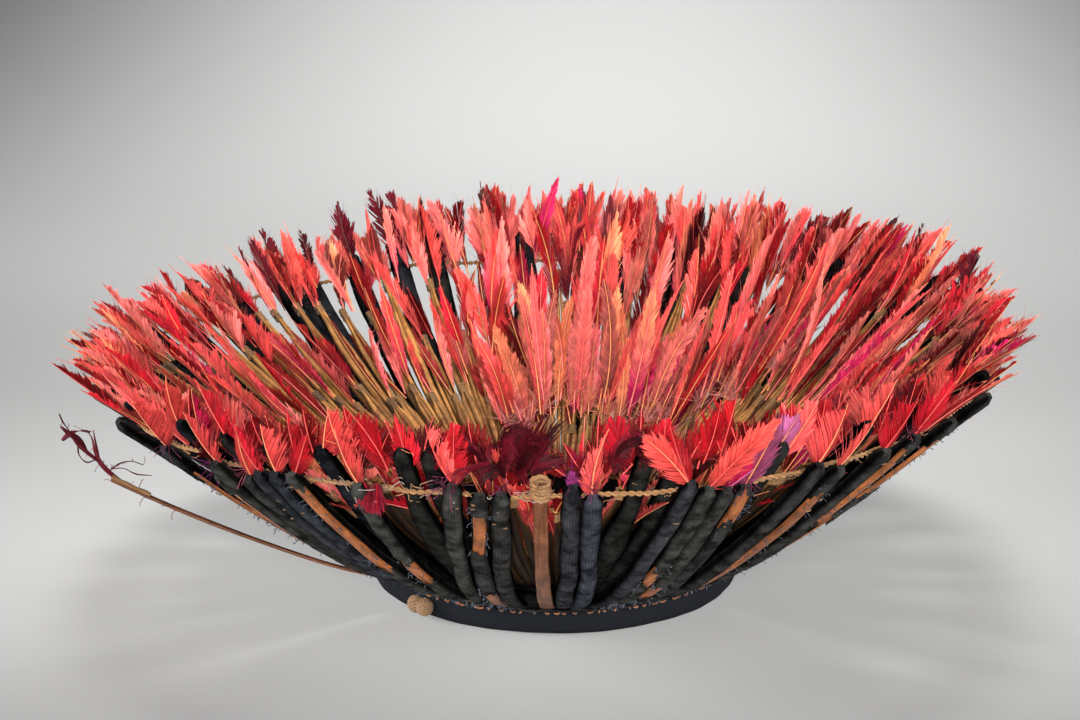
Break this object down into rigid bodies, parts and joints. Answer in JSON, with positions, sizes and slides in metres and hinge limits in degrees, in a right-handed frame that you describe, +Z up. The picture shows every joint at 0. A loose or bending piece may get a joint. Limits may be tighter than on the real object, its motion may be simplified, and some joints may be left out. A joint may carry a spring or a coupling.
{
  "type": "feathered headdress",
  "caption": "Bowl-shaped feathered headdress: a padded cloth head band with flaring cloth-wrapped slats, a straw rim twine, inner cane tiers and red feather tiers.",
  "frame": {"origin": "under the middle of the whole, on the surface that the head band rests on", "axes": "+Z up, -Y towards the front where the bare slat stands, +X to the right as seen from the front"},
  "size_m": [0.5472, 0.5408, 0.1853],
  "materials": {
    "cloth_wrap": "felted dark indigo wool wrapped round the slats",
    "band_cloth": "dark indigo twill, padded",
    "slat_wood": "bare split wood, worn smooth",
    "cane": "golden split cane",
    "straw_twine": "twisted straw twine and tan yarn",
    "plume": "coral and crimson feathers",
    "inner_plume": "paler coral feathers",
    "dark_plume": "dark maroon feather"
  },
  "bodies": {
    "root": {"band_knot": "straw_twine", "bare_slat": "slat_wood", "head_band": "band_cloth", "inner_canes": "cane", "inner_plumes": "inner_plume", "inner_ribs_back": "cloth_wrap", "inner_ribs_front": "cloth_wrap", "inner_ribs_left": "cloth_wrap", "inner_ribs_right": "cloth_wrap", "loose_plume": "dark_plume", "loose_slat": "slat_wood", "middle_canes_back": "cane", "middle_canes_front": "cane", "middle_canes_left": "cane", "middle_canes_right": "cane", "middle_plumes": "plume", "outer_plumes": "plume", "outer_rib_01": "cloth_wrap", "outer_rib_02": "cloth_wrap", "outer_rib_03": "cloth_wrap", "outer_rib_04": "cloth_wrap", "outer_rib_05": "cloth_wrap", "outer_rib_06": "cloth_wrap", "outer_rib_07": "cloth_wrap", "outer_rib_08": "cloth_wrap", "outer_rib_09": "cloth_wrap", "outer_rib_10": "cloth_wrap", "outer_rib_11": "cloth_wrap", "outer_rib_12": "cloth_wrap", "outer_rib_13": "cloth_wrap", "outer_rib_14": "cloth_wrap", "outer_rib_15": "cloth_wrap", "outer_rib_16": "cloth_wrap", "outer_rib_17": "cloth_wrap", "outer_rib_18": "cloth_wrap", "outer_rib_19": "cloth_wrap", "outer_rib_20": "cloth_wrap", "outer_rib_21": "cloth_wrap", "outer_rib_22": "cloth_wrap", "outer_rib_23": "cloth_wrap", "outer_rib_24": "cloth_wrap", "outer_rib_25": "cloth_wrap", "outer_rib_26": "cloth_wrap", "outer_rib_27": "cloth_wrap", "outer_rib_28": "cloth_wrap", "outer_rib_29": "cloth_wrap", "outer_rib_30": "cloth_wrap", "outer_rib_31": "cloth_wrap", "outer_rib_32": "cloth_wrap", "outer_rib_33": "cloth_wrap", "outer_rib_34": "cloth_wrap", "outer_rib_35": "cloth_wrap", "outer_rib_36": "cloth_wrap", "outer_rib_37": "cloth_wrap", "outer_rib_38": "cloth_wrap", "outer_rib_39": "cloth_wrap", "outer_rib_40": "cloth_wrap", "outer_rib_41": "cloth_wrap", "outer_rib_42": "cloth_wrap", "rim_twine": "straw_twine"}
  },
  "joints": []
}
